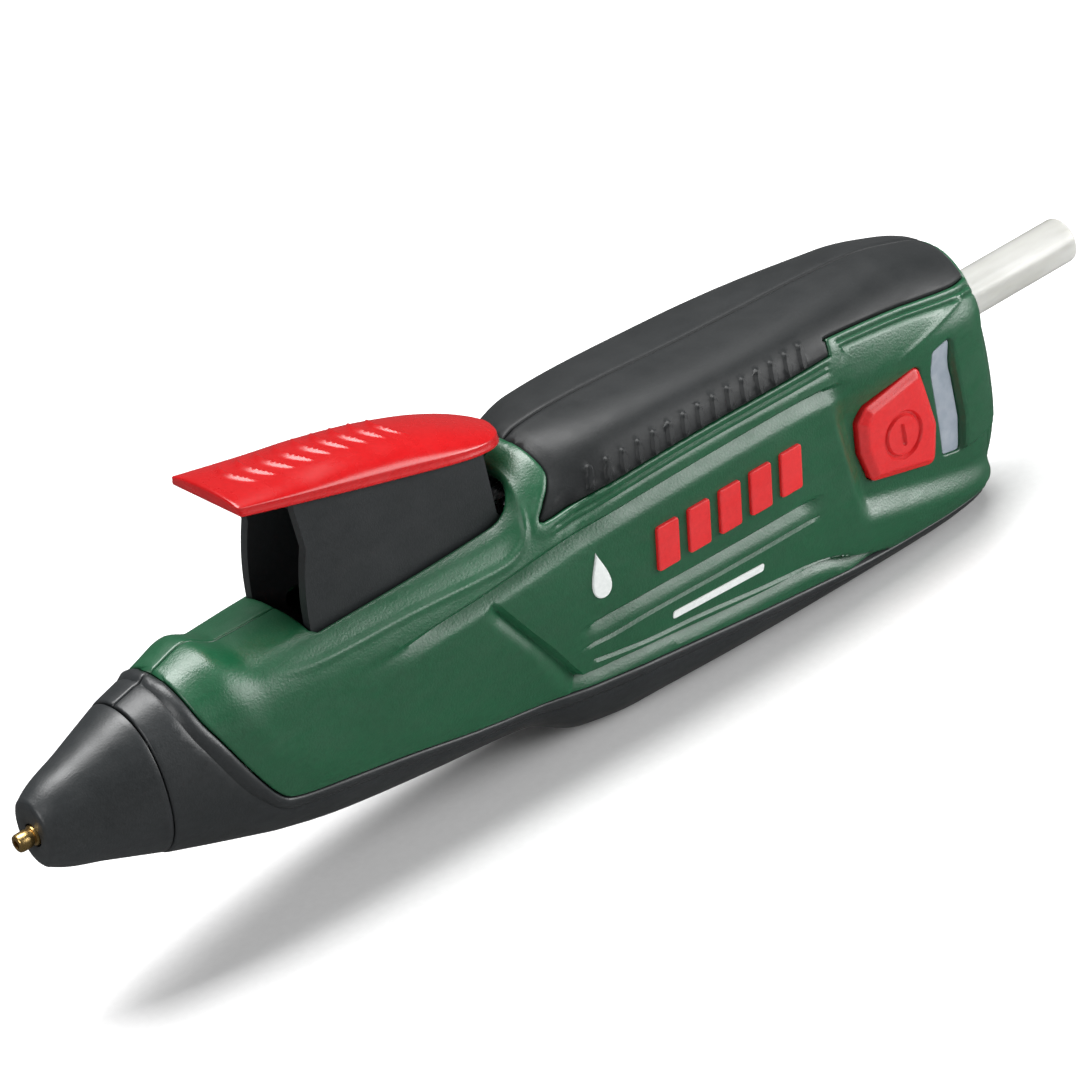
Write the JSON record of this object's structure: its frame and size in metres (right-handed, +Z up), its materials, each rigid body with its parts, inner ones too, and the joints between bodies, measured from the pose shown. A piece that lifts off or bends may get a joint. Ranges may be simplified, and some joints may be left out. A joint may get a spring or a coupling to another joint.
{
  "type": "cordless glue gun",
  "caption": "Cordless pen-style hot glue gun with a top lever trigger, power button, charging socket and a translucent glue stick fed through its rear.",
  "frame": {"origin": "on the surface that the keel rests on, under the middle of the whole length, glue stick included", "axes": "+X towards the rear where the glue stick leaves, +Y to the tool's right, +Z up through the trigger"},
  "size_m": [0.19, 0.028, 0.0618],
  "materials": {
    "green_abs": "fine moulded texture, semi-matt",
    "black_abs": "fine moulded texture",
    "soft_black": "soft-touch, matt",
    "red_abs": "satin",
    "brass": "turned",
    "aluminium": "cast, satin",
    "steel": "plain",
    "nickel": "nickel plated",
    "ceramic": "fired ceramic and mica, matt",
    "silicone": "matt",
    "cell_wrap": "heat-shrink sleeve",
    "board_green": "solder mask",
    "grey_lens": "smoked clear plastic",
    "led_white": "moulded",
    "clear_glue": "translucent hot-melt",
    "wire_black": "insulation",
    "wire_red": "insulation"
  },
  "bodies": {
    "housing": {"housing_left": "green_abs", "housing_right": "green_abs", "lower_shell_left": "black_abs", "lower_shell_right": "black_abs", "grip_left": "soft_black", "grip_right": "soft_black", "nose_cone": "black_abs", "nozzle": "brass", "heater_block": "aluminium", "heating_element": "ceramic", "thermal_sensor": "led_white", "heat_shield": "ceramic", "inlet_sleeve": "silicone", "stick_guide": "black_abs", "glue_inlet_ring": "black_abs", "trigger_pin": "steel", "battery_cell": "cell_wrap", "battery_tab_front": "nickel", "battery_tab_rear": "nickel", "circuit_board": "board_green", "tactile_switch": "black_abs", "status_led_1": "led_white", "status_led_2": "led_white", "status_led_3": "led_white", "charge_board": "board_green", "charging_socket": "nickel", "light_window": "grey_lens", "housing_screw_1": "steel", "housing_screw_2": "steel", "housing_screw_3": "steel", "housing_screw_4": "steel", "heater_lead_1": "wire_black", "heater_lead_2": "wire_red", "cell_lead_red": "wire_red", "cell_lead_black": "wire_black"},
    "trigger": {"trigger_cap": "red_abs", "trigger_stem": "black_abs", "trigger_spring": "steel"},
    "carriage": {"feed_carriage": "black_abs", "jaw_pin": "steel"},
    "jaw": {"feed_jaw": "steel"},
    "button": {"power_button": "red_abs"},
    "stick": {"glue_stick": "clear_glue"}
  },
  "joints": [
    {"name": "trigger_press", "type": "hinge", "parent": "housing", "child": "trigger", "pos_m": [-0.0105, 0, 0.0375], "axis": [0, -1, 0], "range_deg": [0, 15], "stiffness_Nm_per_rad": 0.6, "springref_deg": -6.88},
    {"name": "carriage_feed", "type": "slide", "parent": "housing", "child": "carriage", "axis": [-1, 0, 0], "range_m": [0, 0.00705]},
    {"name": "jaw_bite", "type": "hinge", "parent": "carriage", "child": "jaw", "pos_m": [-0.0316, 0, 0.0343], "axis": [0, -1, 0], "range_deg": [0, 3]},
    {"name": "power_press", "type": "slide", "parent": "housing", "child": "button", "axis": [0, 1, 0], "range_m": [0, 0.0008], "stiffness_N_per_m": 2000, "springref_m": -0.0004},
    {"name": "stick_feed", "type": "slide", "parent": "housing", "child": "stick", "axis": [1, 0, 0], "range_m": [-0.02, 0.1]}
  ],
  "couplings": [
    {"joint": "carriage_feed", "follows": "trigger_press", "m_per_rad": 0.026738},
    {"joint": "jaw_bite", "follows": "trigger_press", "ratio": 0.19333}
  ]
}
